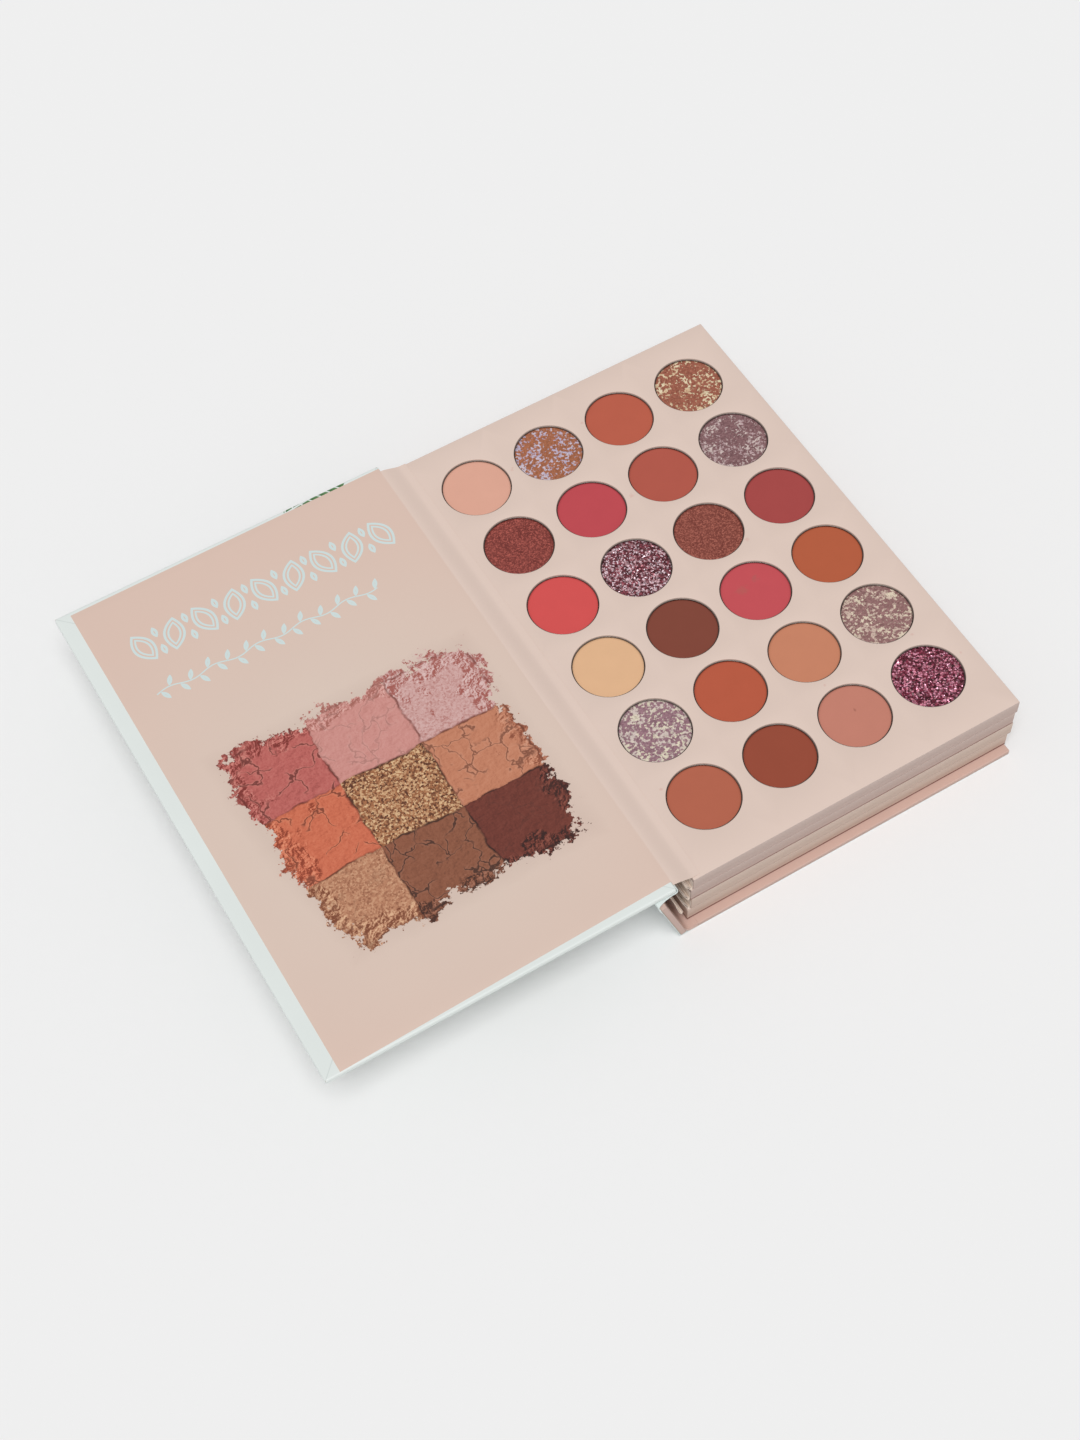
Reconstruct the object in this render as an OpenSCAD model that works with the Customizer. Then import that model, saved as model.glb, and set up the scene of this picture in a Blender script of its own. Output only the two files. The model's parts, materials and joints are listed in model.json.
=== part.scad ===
// Book-bound eyeshadow palette: a hard paper case that opens like a book on
// four rigid pages, each with 24 round pans of pressed eyeshadow.
// Drawn open: the front cover lies level to the left, the pages rest on the
// back cover, and the spine board leans outwards and carries the cover's edge.
// Millimetres, +Z up, hinges along Y, fore-edge of the pages towards +X.

/* [Pans] */
// Rows of pans along the length of a page
rows = 6; // [2:1:8]
// Columns of pans across a page, from the spine to the fore-edge
cols = 4; // [2:1:5]
// Distance between pan centres, both ways
pan_pitch = 31.5; // [29:0.1:40]
// Outside diameter of a tin
pan_d = 26; // [22:0.5:27]
// Height of a tin
pan_h = 3.9; // [3:0.02:5]
// Sheet metal of a tin
pan_wall = 0.3; // [0.2:0.05:0.6]
// How far the powder stays below the rim of its tin
powder_drop = 0.15; // [0.05:0.05:0.5]
// Gap all round a tin in its hole
pan_gap = 0.25; // [0.1:0.05:0.5]
// How far the rim of a tin lies below the top of its page
rim_drop = 0.5; // [0.1:0.1:1]

/* [Pages] */
// Card between the outer pans and the sides of a page
margin_side = 7.5; // [5:0.1:15]
// Card between the front row of pans and the front edge
margin_front = 12.6; // [5:0.1:25]
// Card between the back row of pans and the back edge
margin_back = 10.4; // [5:0.1:25]
// Card on top of a page, with the holes that show the pans
card_t = 0.8; // [0.5:0.1:1.5]
// Board under the tins
base_t = 2; // [1:0.1:3]
// Air between two closed pages
page_gap = 0.4; // [0.3:0.05:1]
// How far the second, third and fourth page sit towards the spine from the top page
page_in = [0.8, 0.4, 1.8]; // [0:0.1:2]

/* [Case] */
// How far the covers reach past the pages at the front and at the back
square_l = 2; // [0:0.1:6]
// How far the back cover stops short of the top page's fore-edge
fore_short = 1.875; // [0:0.125:4]
// Thickness of the grey board in the case
board_t = 2; // [1.5:0.1:3]
// Printed paper wrapped round the boards
wrap_t = 0.25; // [0.15:0.05:0.5]
// Pink paper lining the inside
liner_t = 0.3; // [0.2:0.05:0.5]
// Width of the paper joint between the spine and the back cover
joint_w = 7.3; // [6:0.1:9]
// Width of the paper joint between the spine and the front cover, folded under it
front_joint_w = 7.965; // [7:0.005:8.5]
// How far the front cover is cased in behind the middle of the pages
front_cover_y = 1.2; // [-2:0.1:2]
// How far the back cover and spine are cased in before the middle of the pages
back_cover_y = 1.2; // [-2:0.1:2]
// Wrap paper turned in and left showing at the fore-edge of the front cover
turn_in_fore = 5.7; // [3:0.1:12]
// The same at the front edge
turn_in_front = 1.9; // [1:0.1:8]
// The same at the back edge
turn_in_back = 2.9; // [1:0.1:8]
// Wrap paper left showing around the lining of the back cover
turn_in_rear_cover = 0.6; // [0.4:0.1:6]

/* [Spine] */
// Room between the pages and the foot of the spine, to its middle
spine_room = 5.4; // [4.5:0.1:8]
// How far the spine leans outwards from upright with the case open
spine_lean = 18; // [14:0.1:24]
// Air between the top of the upright spine and the top of the pages
spine_slack = 0.05; // [0.05:0.05:1]
// Height of the fold at the foot of the spine
spine_fold_z = 1.3; // [1.3:0.05:2]
// Thickness of the paper of the folded page hinges
gusset_t = 0.15; // [0.1:0.05:0.3]
// Length of the outer leg of a page hinge
gusset_leg = 8.5; // [5:0.5:10]

/* [Hidden] */
$fn = 96;
pages = 4;
over = 1;                                 // overshoot of a cutter, so that it cuts right through
fit = 0.05;                               // clearance of a glued-in sheet
cover_air = 0.1;                          // air between the top of the spine and the open cover
foot_air = 0.115;                         // air between the spine's foot and the joint paper
flap_air = 0.4;                           // gap between the open cover and its flap
hinge_air = 1;                            // room past the end of a page hinge's outer leg
strip_t = 0.6;                            // paper joint at the front cover, folded double

// A page is as large as its pans and margins, and as thick as its tins ask for.
hole_d = pan_d + 2 * pan_gap;
page_w = (cols - 1) * pan_pitch + hole_d + 2 * margin_side;
page_l = (rows - 1) * pan_pitch + hole_d + margin_front + margin_back;
pan_shift_y = (margin_front - margin_back) / 2;
core_t = pan_h + rim_drop - card_t;
page_t = base_t + core_t + card_t;

// The case is cut to the pages.
case_t = wrap_t + board_t + liner_t;
back_cover_x = joint_w - spine_room - case_t / 2;
cover_w = page_w - fore_short - back_cover_x;
cover_l = page_l + 2 * square_l;
board_w = cover_w - 2 * wrap_t;
board_l = cover_l - 2 * wrap_t;
block_top = case_t + pages * page_t + (pages - 1) * page_gap;

// The spine reaches from its foot to just under the top of the closed pages.
spine_up = block_top - spine_slack - spine_fold_z;
spine_foot = (spine_fold_z - wrap_t / 2 - foot_air - case_t / 2 * sin(spine_lean))
  / cos(spine_lean);
spine_top_x = -spine_room - spine_up * sin(spine_lean);
spine_top_z = spine_fold_z + spine_up * cos(spine_lean);
spine_outer_x = spine_top_x - case_t / 2 * cos(spine_lean);

// The open cover lies level, clear of the spine at every lean.
cover_x = spine_outer_x + front_joint_w;
cover_z = spine_top_z + case_t / 2 + cover_air;
strip_z = spine_top_z + case_t / 2 * sin(spine_lean) + fit;

// Flap of lining paper from the edge of the open cover to the top page.
flap_x = cover_x + flap_air;
flap_z = cover_z + case_t;

// The finished part is centred over its own footprint.
x_low = cover_x - cover_w;
x_high = page_w;
y_low = min(-page_l / 2, -back_cover_y - cover_l / 2, front_cover_y - cover_l / 2);
y_high = max(page_l / 2, cover_l / 2 - back_cover_y, cover_l / 2 + front_cover_y);
origin = [-(x_low + x_high) / 2, -(y_low + y_high) / 2, 0];

PINK = "#ddc5b6";
MINT = "#dde5e1";
BOARD = "#b9aa98";
TIN = "#8d8a86";
CORE = "#d8c2b4";
HINGE = "#e6d6ca";
MIXED = "#b87a66";
// Shades of the top page, back row first, spine side first.
SHADES = [
  ["#dda590", "#9a5b3c", "#b85c45", "#a0684c"],
  ["#6f2f2f", "#be4a54", "#b2584a", "#a0858a"],
  ["#d4524f", "#6f2430", "#7b4038", "#a44845"],
  ["#e0b688", "#793f33", "#c54e57", "#b55c3c"],
  ["#c9b3b5", "#b85538", "#c98360", "#a97f86"],
  ["#b3614a", "#9a4533", "#c4786a", "#7d2040"]
];

function powder_name(r, c) = str("powder_", r, "_", c);
// How far a page sits towards the spine: page 1 is the top page, page 4 the lowest.
function page_shift(p) = p == 1 ? 0 : page_in[p - 2];
// Underside of a page.
function page_z(p) = case_t + (pages - p) * (page_t + page_gap);
// Middle of a pan: row 1 is at the back, column 1 beside the spine.
function pan_x(c) = page_w / 2 + (c - (cols + 1) / 2) * pan_pitch;
function pan_y(r) = pan_shift_y + ((rows + 1) / 2 - r) * pan_pitch;
function shade(r, c) = SHADES[(r - 1) % len(SHADES)][(c - 1) % len(SHADES[0])];

// A sheet from corner to corner, lying on z = 0.
module sheet(w, l, t) {
  translate([0, -l / 2, 0]) cube([w, l, t]);
}

// Places a page's own frame: x = 0 is its spine edge, z = 0 its underside.
module on_page(p) {
  translate([-page_shift(p), 0, page_z(p)]) children();
}

module each_pan() {
  for (r = [1 : rows], c = [1 : cols]) {
    translate([pan_x(c), pan_y(r), 0]) children();
  }
}

// ---- one cover: board, wrap and lining, spine edge at x = 0 ----

module cover_board() {
  translate([wrap_t, 0, wrap_t]) sheet(board_w, board_l, board_t);
}

// Wrap paper under the board, up its edges and turned in on the inside.
module cover_wrap(fore, front, back) {
  difference() {
    sheet(cover_w, cover_l, board_t + 2 * wrap_t);
    cover_board();
    translate([-over, front - cover_l / 2, wrap_t + board_t])
      cube([cover_w - fore + over, cover_l - front - back, over]);
  }
}

// Lining paper in the window that the turned-in wrap leaves.
module cover_liner(fore, front, back) {
  translate([0, front - cover_l / 2 + fit, wrap_t + board_t])
    cube([cover_w - fore - fit, cover_l - front - back - 2 * fit, liner_t]);
}

module at_back_cover() {
  translate([back_cover_x, -back_cover_y, 0]) children();
}

module at_front_cover() {
  translate([cover_x, front_cover_y, cover_z]) mirror([1, 0, 0]) children();
}

// Places the spine's own frame: z = 0 is its fold, x = 0 its middle.
module at_spine() {
  translate([-spine_room, -back_cover_y, spine_fold_z])
    rotate([0, -spine_lean, 0])
      children();
}

// ---- back cover ----

module back_board() {
  color(BOARD) at_back_cover() cover_board();
}

module back_wrap() {
  color(MINT) at_back_cover()
    cover_wrap(turn_in_rear_cover, turn_in_rear_cover, turn_in_rear_cover);
}

module back_liner() {
  color(PINK) at_back_cover()
    cover_liner(turn_in_rear_cover, turn_in_rear_cover, turn_in_rear_cover);
}

// Paper joint lying flat between the foot of the spine and the back board.
module back_joint_strip() {
  color(PINK)
    translate([-spine_room - case_t / 2, -back_cover_y, 0])
      sheet(joint_w - fit, cover_l, wrap_t / 2);
}

// ---- spine ----

module spine_board() {
  color(BOARD) at_spine()
    translate([wrap_t - case_t / 2, 0, -spine_foot])
      sheet(board_t, board_l, spine_up + spine_foot);
}

module spine_wrap() {
  color(MINT) at_spine()
    translate([-case_t / 2, 0, -spine_foot])
      sheet(wrap_t, cover_l, spine_up + spine_foot);
}

// Lining of the spine, turned over both ends of its board.
module spine_liner() {
  color(PINK) at_spine() difference() {
    translate([wrap_t - case_t / 2, 0, -spine_foot])
      sheet(board_t + liner_t, cover_l, spine_up + spine_foot);
    translate([wrap_t - case_t / 2 - over, 0, -spine_foot - over])
      sheet(board_t + over, board_l, spine_up + spine_foot + 2 * over);
  }
}

// ---- joint between the spine and the front cover ----

module front_joint_strip() {
  color(MINT)
    translate([spine_outer_x, -back_cover_y, strip_z])
      sheet(front_joint_w, cover_l, strip_t);
}

// ---- front cover ----

module front_board() {
  color(BOARD) at_front_cover() cover_board();
}

module front_wrap() {
  color(MINT) at_front_cover() cover_wrap(turn_in_fore, turn_in_front, turn_in_back);
}

module front_liner() {
  color(PINK) at_front_cover() cover_liner(turn_in_fore, turn_in_front, turn_in_back);
}

// Lining paper that bridges from the cover's edge down to the top page.
module endpaper_flap() {
  y = front_cover_y - cover_l / 2 + turn_in_front + fit;
  l = cover_l - turn_in_front - turn_in_back - 2 * fit;
  color(PINK) translate([0, y + l, 0]) rotate([90, 0, 0]) linear_extrude(l)
    polygon([
      [0, block_top], [flap_x, flap_z - liner_t],
      [flap_x, flap_z], [0, block_top + liner_t]
    ]);
}

// ---- pages ----

module page_base(p) {
  color(BOARD) on_page(p) sheet(page_w, page_l, base_t);
}

module page_core(p) {
  color(CORE) on_page(p) translate([0, 0, base_t]) difference() {
    sheet(page_w, page_l, core_t);
    translate([0, 0, -over]) each_pan() cylinder(d = hole_d, h = core_t + 2 * over);
  }
}

module page_card(p) {
  color(PINK) on_page(p) translate([0, 0, base_t + core_t]) difference() {
    sheet(page_w, page_l, card_t);
    translate([0, 0, -over]) each_pan() cylinder(d = hole_d, h = card_t + 2 * over);
  }
}

// The tins of one page: straight-sided cups of thin sheet.
module page_tins(p) {
  color(TIN) on_page(p) translate([0, 0, base_t]) each_pan() difference() {
    cylinder(d = pan_d, h = pan_h);
    translate([0, 0, pan_wall]) cylinder(d = pan_d - 2 * pan_wall, h = pan_h);
  }
}

// One cake of pressed powder, as it fills a tin.
module cake() {
  translate([0, 0, base_t + pan_wall])
    cylinder(d = pan_d - 2 * pan_wall, h = pan_h - pan_wall - powder_drop);
}

module powder(r, c) {
  color(shade(r, c)) on_page(1) translate([pan_x(c), pan_y(r), 0]) cake();
}

module page_powders(p) {
  color(MIXED) on_page(p) each_pan() cake();
}

// Folded paper hinge below page p: one leg up the page's spine edge, glued,
// and one leg standing away from it, towards the spine.
module page_hinge(p) {
  leg = min(gusset_leg, block_top - page_z(p));
  inner = page_t - card_t;
  away = hinge_air + page_shift(p);
  color(HINGE) translate([-page_shift(p) - fit, page_l / 2, page_z(p)])
    rotate([90, 0, 0]) linear_extrude(page_l) union() {
      translate([-gusset_t, 0]) square([gusset_t, inner - page_gap]);
      translate([-2 * gusset_t - fit, 0]) square([2 * gusset_t + fit, gusset_t]);
      translate([-2 * gusset_t - fit, 0]) rotate(spine_lean)
        square([gusset_t, leg - away]);
    }
}

translate(origin) {
  back_board();
  back_wrap();
  back_liner();
  back_joint_strip();
  spine_board();
  spine_wrap();
  spine_liner();
  front_joint_strip();
  front_board();
  front_wrap();
  front_liner();
  endpaper_flap();
  for (p = [1 : pages]) {
    page_base(p);
    page_core(p);
    page_card(p);
    page_tins(p);
  }
  for (p = [2 : pages]) {
    page_powders(p);
  }
  for (p = [1 : pages - 1]) {
    page_hinge(p);
  }
  for (r = [1 : rows], c = [1 : cols]) {
    powder(r, c);
  }
}
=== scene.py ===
import math
import bmesh
import bpy
import numpy as np
from mathutils import Matrix, Vector
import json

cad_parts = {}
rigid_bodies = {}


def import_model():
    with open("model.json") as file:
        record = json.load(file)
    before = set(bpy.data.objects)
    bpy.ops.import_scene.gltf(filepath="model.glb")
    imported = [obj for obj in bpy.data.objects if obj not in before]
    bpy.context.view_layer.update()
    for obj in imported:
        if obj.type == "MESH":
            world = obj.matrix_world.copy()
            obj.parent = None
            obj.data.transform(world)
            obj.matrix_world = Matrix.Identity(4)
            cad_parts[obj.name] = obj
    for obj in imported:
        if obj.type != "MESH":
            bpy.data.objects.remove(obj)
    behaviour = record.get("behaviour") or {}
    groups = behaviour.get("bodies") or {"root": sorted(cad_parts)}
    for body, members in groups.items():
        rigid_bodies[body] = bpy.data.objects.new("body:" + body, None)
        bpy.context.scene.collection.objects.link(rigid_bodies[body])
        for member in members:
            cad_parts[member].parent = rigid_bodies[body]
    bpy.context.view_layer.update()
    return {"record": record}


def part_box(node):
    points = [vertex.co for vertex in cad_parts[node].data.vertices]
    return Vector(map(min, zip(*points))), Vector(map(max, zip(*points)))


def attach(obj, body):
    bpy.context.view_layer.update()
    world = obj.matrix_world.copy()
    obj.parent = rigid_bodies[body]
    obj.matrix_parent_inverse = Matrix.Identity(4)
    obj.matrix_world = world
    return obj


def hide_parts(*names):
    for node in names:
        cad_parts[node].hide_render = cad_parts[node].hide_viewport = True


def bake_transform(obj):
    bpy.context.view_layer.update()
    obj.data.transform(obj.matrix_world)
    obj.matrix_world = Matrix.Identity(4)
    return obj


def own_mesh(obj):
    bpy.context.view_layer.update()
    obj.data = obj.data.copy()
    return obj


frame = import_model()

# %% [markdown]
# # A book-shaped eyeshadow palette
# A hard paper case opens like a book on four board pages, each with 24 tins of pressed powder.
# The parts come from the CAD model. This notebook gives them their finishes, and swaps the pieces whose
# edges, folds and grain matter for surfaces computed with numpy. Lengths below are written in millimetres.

MM = 0.001
record = frame["record"]


def linear(hex_colour):
    """An sRGB hex colour as linear RGBA: c/12.92 below 0.04045, otherwise ((c + 0.055) / 1.055) ** 2.4."""
    c = np.array([int(hex_colour[i:i + 2], 16) / 255 for i in (1, 3, 5)])
    c = np.where(c <= 0.04045, c / 12.92, ((c + 0.055) / 1.055) ** 2.4)
    return (*[float(v) for v in c], 1.0)


def box_mm(node):
    """Lowest and highest corner of a CAD node, in millimetres."""
    lo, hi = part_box(node)
    return np.array(lo) / MM, np.array(hi) / MM


def value_noise(x, y, size, seed):
    """Smooth noise from -1 to 1: random heights on a lattice of that size, joined by s = t*t*(3 - 2*t)."""
    table = np.random.default_rng(seed).uniform(-1, 1, (64, 64))
    u, v = np.asarray(x) / size, np.asarray(y) / size
    i, j = np.floor(u).astype(int), np.floor(v).astype(int)
    s, t = u - i, v - j
    s, t = s * s * (3 - 2 * s), t * t * (3 - 2 * t)
    a, b = table[i % 64, j % 64], table[(i + 1) % 64, j % 64]
    c, d = table[i % 64, (j + 1) % 64], table[(i + 1) % 64, (j + 1) % 64]
    return (a * (1 - s) + b * s) * (1 - t) + (c * (1 - s) + d * s) * t


def piece(name, verts, faces, material, body, stands_for=(), flat_angle=35,
          merge=True, turn_out=True):
    """A new mesh object from points in millimetres and faces as rows of point numbers, riding on a body."""
    verts = np.asarray(verts, float) * MM
    faces = np.asarray(faces, int)
    if merge:
        key, first, back = np.unique(np.round(verts, 8), axis=0, return_index=True, return_inverse=True)
        verts, faces = verts[first], back.reshape(-1)[faces]
        keep = [len(set(f)) > 2 for f in faces.tolist()]
        faces = faces[keep]
    loops = [list(dict.fromkeys(f)) for f in faces.tolist()]
    mesh = bpy.data.meshes.new(name)
    mesh.from_pydata(verts.tolist(), [], loops)
    if turn_out:
        work = bmesh.new()
        work.from_mesh(mesh)
        bmesh.ops.recalc_face_normals(work, faces=work.faces)
        work.to_mesh(mesh)
        work.free()
    mesh.update()
    mesh.polygons.foreach_set("use_smooth", np.ones(len(mesh.polygons), bool))
    mesh.set_sharp_from_angle(angle=math.radians(flat_angle))
    mesh.materials.append(material)
    obj = bpy.data.objects.new(name, mesh)
    bpy.context.scene.collection.objects.link(obj)
    if body:
        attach(obj, body)
    if stands_for:
        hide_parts(*stands_for)
    return obj


def grid_quads(nu, nv, start=0, close_u=False, close_v=False):
    """Faces of a grid of nu by nv points, row by row; a closed direction joins its end to its start."""
    u = np.arange(nu if close_u else nu - 1)[:, None]
    v = np.arange(nv if close_v else nv - 1)[None, :]
    a = u * nv + v
    b = ((u + 1) % nu) * nv + v
    c = ((u + 1) % nu) * nv + (v + 1) % nv
    d = u * nv + (v + 1) % nv
    return np.stack([a, b, c, d], -1).reshape(-1, 4) + start


def slab_mesh(lo, hi, r, cuts=(8, 12, 1), drop=None, n=3):
    """A box with rounded edges: each point p of a plain box moves to q + r * (p - q) / |p - q|,
    where q is p held inside the box shrunk by r. drop(middles, axis, side) may leave faces out."""
    lo, hi = np.asarray(lo, float), np.asarray(hi, float)
    mid, half = (lo + hi) / 2, (hi - lo) / 2
    lines = []
    for k in range(3):
        corner = half[k] - r + r * np.tan(np.linspace(0, math.pi / 4, n + 1))
        inner = np.linspace(-half[k] + r, half[k] - r, cuts[k] + 1)[1:-1]
        lines.append(np.concatenate([-corner[::-1], inner, corner]))
    verts, faces, count = [], [], 0
    for axis in range(3):
        a, b = [(1, 2), (2, 0), (0, 1)][axis]
        ga, gb = np.meshgrid(lines[a], lines[b], indexing="ij")
        for side in (-1, 1):
            p = np.zeros(ga.shape + (3,))
            p[..., a], p[..., b], p[..., axis] = ga, gb, side * half[axis]
            q = np.clip(p, -half + r, half - r)
            away = p - q
            away /= np.maximum(np.linalg.norm(away, axis=-1, keepdims=True), 1e-12)
            p = (q + r * away + mid).reshape(-1, 3)
            f = grid_quads(len(lines[a]), len(lines[b]))
            if side < 0:
                f = f[:, ::-1]
            if drop is not None:
                f = f[~drop(p[f].mean(1), axis, side)]
            verts.append(p)
            faces.append(f + count)
            count += len(p)
    return np.concatenate(verts), np.concatenate(faces)


def strip_mesh(upper, lower, y0, y1, ny=40, wave=0.0, seed=1, skew=0.0):
    """A sheet between two lines of (x, z) points, drawn out along y. Where it is free it is lifted by
    wave * noise(y) * sin(pi * s), and its ends shift by skew * s along y; s runs from 0 to 1 along the lines."""
    upper, lower = np.asarray(upper, float), np.asarray(lower, float)
    m = len(upper)
    s = np.linspace(0, 1, m)
    y = np.linspace(y0, y1, ny)
    lift = wave * value_noise(y, y * 0 + 3.3, 17, seed)[:, None] * np.sin(math.pi * s)[None]
    rows = []
    for line in (upper, lower[::-1]):
        t = s if line is upper else s[::-1]
        up = lift if line is upper else lift[:, ::-1]
        across = line[None, :, 0] + 0 * up
        rows.append(np.stack([across, y[:, None] + skew * t[None], line[None, :, 1] + up], -1))
    verts = np.concatenate(rows, 1).reshape(-1, 3)
    faces = grid_quads(ny, 2 * m, close_v=True)
    k = np.arange(m - 1)
    cap = np.stack([k, k + 1, 2 * m - 2 - k, 2 * m - 1 - k], 1)
    return verts, np.concatenate([faces, cap, cap[:, ::-1] + (ny - 1) * 2 * m])


def ribbon_mesh(path, thick, y0, y1, **rest):
    """A sheet of even thickness along a path of (x, z) points: its sides are path +- thick / 2 * normal."""
    path = np.asarray(path, float)
    step = np.gradient(path, axis=0)
    normal = np.stack([-step[:, 1], step[:, 0]], 1) / np.linalg.norm(step, axis=1)[:, None]
    return strip_mesh(path + normal * thick / 2, path - normal * thick / 2, y0, y1, **rest)


def bezier(points, n=16):
    """Points on a Bezier curve from the first to the last control point: sum of C(k,i) t^i (1-t)^(k-i) P_i."""
    points = np.asarray(points, float)
    k = len(points) - 1
    t = np.linspace(0, 1, n)[:, None]
    return sum(math.comb(k, i) * t ** i * (1 - t) ** (k - i) * points[i] for i in range(k + 1))


# %% [markdown]
# ## Shader tools
# Every finish is built from a few small nodes. `put` adds one node and fills or links its sockets.
# Sizes of patterns are given in millimetres on the real object, through Object coordinates.

# %% Shader helpers


def put(tree, kind, inputs=None, **settings):
    """Adds one shader node; an input may be a value or another node's socket."""
    n = tree.nodes.new("ShaderNode" + kind)
    for k, v in settings.items():
        setattr(n, k, v)
    for k, v in (inputs or {}).items():
        if isinstance(v, bpy.types.NodeSocket):
            tree.links.new(v, n.inputs[k])
        else:
            n.inputs[k].default_value = v
    return n


def calc(tree, op, a, b=0.0, c=None):
    """One Math node; returns its output."""
    inputs = {0: a, 1: b}
    if c is not None:
        inputs[2] = c
    return put(tree, "Math", inputs, operation=op).outputs[0]


def add(tree, a, b):
    """a + b."""
    return calc(tree, "ADD", a, b)


def less(tree, a, b):
    """a - b."""
    return calc(tree, "SUBTRACT", a, b)


def times(tree, a, b):
    """a * b."""
    return calc(tree, "MULTIPLY", a, b)


def size_of(tree, a):
    """|a|."""
    return calc(tree, "ABSOLUTE", a)


def most(tree, a, b):
    """The larger of a and b."""
    return calc(tree, "MAXIMUM", a, b)


def blend_colour(tree, fac, a, b, mode="MIX"):
    """Mixes two colours by a factor; returns the colour."""
    inputs = {0: fac, 6: a, 7: b}
    return put(tree, "Mix", inputs, data_type="RGBA", blend_type=mode, clamp_factor=True).outputs[2]


def spread(tree, value, low, high, to_low=0.0, to_high=1.0):
    """Maps a value from one range to another, held at the ends."""
    return put(tree, "MapRange", {0: value, 1: low, 2: high, 3: to_low, 4: to_high}, clamp=True).outputs[0]


def millimetres(tree):
    """Object coordinates in millimetres."""
    coord = put(tree, "TexCoord").outputs["Object"]
    return put(tree, "VectorMath", {0: coord, "Scale": 1000.0}, operation="SCALE").outputs[0]


def noise(tree, at, size, detail=2.0, rough=0.5):
    """Noise whose features are about that many millimetres across; 0 to 1."""
    inputs = {"Vector": at, "Scale": 1.0 / size, "Detail": detail, "Roughness": rough}
    return put(tree, "TexNoise", inputs).outputs[0]


def cells(tree, at, size, feature="F1", out="Distance"):
    """Voronoi cells about that many millimetres across."""
    return put(tree, "TexVoronoi", {"Vector": at, "Scale": 1.0 / size}, feature=feature).outputs[out]


def bump(tree, height, depth, strength=1.0):
    """Bump of a height from 0 to 1 that stands for that depth in millimetres."""
    return put(tree, "Bump", {"Height": height, "Distance": depth * MM, "Strength": strength}).outputs[0]


def start(name):
    """A new material: its node tree, its Principled shader and the millimetre coordinates."""
    mat = bpy.data.materials.new(name)
    mat.use_nodes = True
    tree = mat.node_tree
    shader = next(n for n in tree.nodes if n.type == "BSDF_PRINCIPLED")
    return mat, tree, shader, millimetres(tree)


def feed(tree, shader, **sockets):
    """Sets or links sockets of the shader; Base_Color stands for Base Color."""
    for k, v in sockets.items():
        s = shader.inputs[k.replace("_", " ")]
        if isinstance(v, bpy.types.NodeSocket):
            tree.links.new(v, s)
        else:
            s.default_value = v


def tinted(colour, factor):
    """The colour with its brightness multiplied."""
    return tuple(min(1.0, c * factor) for c in colour[:3]) + (1.0,)


def tinted_socket(tree, colour, factor):
    """The same darkening for a colour that comes out of a node."""
    return blend_colour(tree, 1.0, colour, (factor, factor, factor, 1.0), "MULTIPLY")


def paper(name, hex_colour, gloss=0.5, cloud=0.02, fibre=0.012):
    """Printed or plain paper: slow tone clouds, a fine fibre grain and a faint orange-peel in the gloss."""
    mat, tree, shader, at = start(name)
    c = linear(hex_colour)
    slow = noise(tree, at, 22, 3)
    fine = noise(tree, at, 0.35, 4, 0.6)
    colour = blend_colour(tree, slow, tinted(c, 1 - cloud), tinted(c, 1 + cloud))
    colour = blend_colour(tree, spread(tree, fine, 0.3, 0.7, 0.0, 0.05), colour, tinted(c, 0.9))
    feed(tree, shader, Base_Color=colour, Normal=bump(tree, fine, fibre, 0.6),
         Roughness=spread(tree, noise(tree, at, 6), 0.3, 0.7, gloss - 0.04, gloss + 0.05))
    return mat


# %% [markdown]
# ## Papers and boards
# The case is grey board wrapped in printed, matt-laminated paper. The insides are lined with a second, pink
# paper. Pages are foam board between a base board and a top card, all covered with the same pink paper.
# Cut edges show the board's grey and brown fibres.

# %% Papers, boards and tin

def greyboard():
    """Grey board: pressed waste paper with dark and pale flecks and a layered edge."""
    mat, tree, shader, at = start("grey_board_recycled")
    fleck = cells(tree, at, 0.7, out="Color")
    dark = put(tree, "SeparateColor", {0: fleck}).outputs[0]
    tone = noise(tree, at, 1.2, 4)
    colour = blend_colour(tree, tone, linear("#a89a8a"), linear("#c4b6a6"))
    colour = blend_colour(tree, spread(tree, dark, 0.86, 0.95, 0, 0.4), colour, linear("#6e6258"))
    feed(tree, shader, Base_Color=colour, Roughness=0.9, Normal=bump(tree, tone, 0.03, 0.7))
    return mat


def page_edge(name, lit_top_hex, shaded_low_hex, line, lo, hi):
    """Paper-covered edge of a page board, with fine level press lines. Its tones are darker than the card's face,
    which is painted shade on the sides. Its tone runs from a darker bottom to a lighter top, which is painted shading.
    A painted shadow line can run along its bottom.
    """
    mat, tree, shader, at = start(name)
    z = put(tree, "SeparateXYZ", {0: at}).outputs[2]
    up = spread(tree, z, lo, hi)
    long = put(tree, "VectorMath", {0: at, 1: (0.02, 0.02, 6.0)}, operation="MULTIPLY").outputs[0]
    lines = noise(tree, long, 1.0, 3, 0.6)
    # painted shade: the edge's tone runs from the darker low tone at the bottom to the lighter top tone
    colour = blend_colour(tree, up, linear(shaded_low_hex), linear(lit_top_hex))
    colour = blend_colour(tree, spread(tree, lines, 0.5, 0.75, 0, 0.35), colour, tinted(linear(shaded_low_hex), 0.8))
    # painted shadow of the gap under the page: a dark line along its bottom, broken up a little
    depth = add(tree, line, times(tree, less(tree, noise(tree, at, 9.0, 3), 0.5), line * 0.7))
    gap_shade = spread(tree, less(tree, less(tree, z, lo), depth), -0.08, 0.06, 0.95, 0.0)
    colour = blend_colour(tree, gap_shade, colour, linear("#7d4a41"))
    fine = noise(tree, at, 0.3, 3)
    feed(tree, shader, Base_Color=colour, Roughness=0.7, Normal=bump(tree, fine, 0.02, 0.6))
    return mat


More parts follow.
